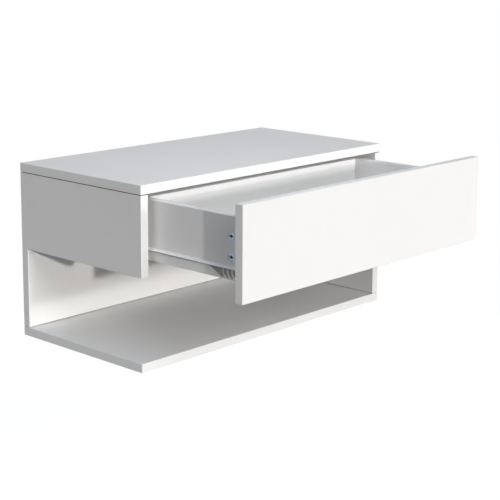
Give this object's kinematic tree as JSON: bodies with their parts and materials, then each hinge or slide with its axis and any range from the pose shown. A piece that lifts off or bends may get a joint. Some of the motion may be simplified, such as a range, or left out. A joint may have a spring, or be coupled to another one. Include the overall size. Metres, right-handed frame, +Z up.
{
  "type": "floating nightstand",
  "caption": "Wall-hung white bedside cabinet: a drawer on roller runners under the top and a lower compartment open at the front and left.",
  "frame": {"origin": "centre of the rear face of the back panel, the face that lies on the wall", "axes": "+X to the right seen from the front, +Y into the wall, +Z up; the drawer opens along -Y"},
  "size_m": [0.6, 0.515, 0.3],
  "materials": {
    "white_board": "particle board with a fine satin white melamine film and matching edge band",
    "white_sheet": "hardboard painted white",
    "white_steel": "white powder coat",
    "white_plastic": "moulded nylon",
    "zinc": "blue passivated die-cast zinc",
    "plated_steel": "bright zinc plate"
  },
  "bodies": {
    "cabinet": {"back_panel": "white_board", "back_screw_left_lower": "plated_steel", "back_screw_left_upper": "plated_steel", "back_screw_right_lower": "plated_steel", "back_screw_right_upper": "plated_steel", "cabinet_runner_left": "white_steel", "cabinet_runner_right": "white_steel", "cabinet_runner_screw_left_front": "plated_steel", "cabinet_runner_screw_left_rear": "plated_steel", "cabinet_runner_screw_right_front": "plated_steel", "cabinet_runner_screw_right_rear": "plated_steel", "front_roller_pin_left": "plated_steel", "front_roller_pin_right": "plated_steel", "left_side_panel": "white_board", "right_side_panel": "white_board", "shelf_panel": "white_board", "shelf_screw_back_left": "plated_steel", "shelf_screw_back_right": "plated_steel", "shelf_screw_side_front": "plated_steel", "shelf_screw_side_rear": "plated_steel", "top_cam_left_front_bolt": "plated_steel", "top_cam_left_front_lock": "zinc", "top_cam_left_rear_bolt": "plated_steel", "top_cam_left_rear_lock": "zinc", "top_cam_right_front_bolt": "plated_steel", "top_cam_right_front_lock": "zinc", "top_cam_right_rear_bolt": "plated_steel", "top_cam_right_rear_lock": "zinc", "top_panel": "white_board"},
    "drawer": {"drawer_back": "white_board", "drawer_bottom": "white_sheet", "drawer_cam_left_lower_bolt": "plated_steel", "drawer_cam_left_lower_lock": "zinc", "drawer_cam_left_upper_bolt": "plated_steel", "drawer_cam_left_upper_lock": "zinc", "drawer_cam_right_lower_bolt": "plated_steel", "drawer_cam_right_lower_lock": "zinc", "drawer_cam_right_upper_bolt": "plated_steel", "drawer_cam_right_upper_lock": "zinc", "drawer_front": "white_board", "drawer_runner_left": "white_steel", "drawer_runner_right": "white_steel", "drawer_runner_screw_left_front": "plated_steel", "drawer_runner_screw_left_rear": "plated_steel", "drawer_runner_screw_right_front": "plated_steel", "drawer_runner_screw_right_rear": "plated_steel", "drawer_screw_left_lower": "plated_steel", "drawer_screw_left_upper": "plated_steel", "drawer_screw_right_lower": "plated_steel", "drawer_screw_right_upper": "plated_steel", "drawer_side_left": "white_board", "drawer_side_right": "white_board", "rear_roller_pin_left": "plated_steel", "rear_roller_pin_right": "plated_steel", "runner_clip_left": "white_plastic", "runner_clip_right": "white_plastic"},
    "front_roller_wheel_left": {"front_roller_left": "white_plastic"},
    "rear_roller_wheel_left": {"rear_roller_left": "white_plastic"},
    "front_roller_wheel_right": {"front_roller_right": "white_plastic"},
    "rear_roller_wheel_right": {"rear_roller_right": "white_plastic"}
  },
  "joints": [
    {"name": "drawer_slide", "type": "slide", "parent": "cabinet", "child": "drawer", "axis": [0, -1, 0], "range_m": [-0.1997, 0]},
    {"name": "front_roller_spin_left", "type": "hinge", "parent": "cabinet", "child": "front_roller_wheel_left", "pos_m": [-0.27965, -0.28, 0.036], "axis": [1, 0, 0], "range_deg": [-1370, 1370]},
    {"name": "rear_roller_spin_left", "type": "hinge", "parent": "drawer", "child": "rear_roller_wheel_left", "pos_m": [-0.27785, -0.258, 0.0345], "axis": [1, 0, 0], "range_deg": [-1550, 1550]},
    {"name": "front_roller_spin_right", "type": "hinge", "parent": "cabinet", "child": "front_roller_wheel_right", "pos_m": [0.27965, -0.28, 0.036], "axis": [1, 0, 0], "range_deg": [-1370, 1370]},
    {"name": "rear_roller_spin_right", "type": "hinge", "parent": "drawer", "child": "rear_roller_wheel_right", "pos_m": [0.27785, -0.258, 0.0345], "axis": [1, 0, 0], "range_deg": [-1550, 1550]}
  ],
  "couplings": [
    {"joint": "front_roller_spin_left", "follows": "drawer_slide", "rad_per_m": 117.65},
    {"joint": "rear_roller_spin_left", "follows": "drawer_slide", "rad_per_m": 133.33},
    {"joint": "front_roller_spin_right", "follows": "drawer_slide", "rad_per_m": 117.65},
    {"joint": "rear_roller_spin_right", "follows": "drawer_slide", "rad_per_m": 133.33}
  ]
}
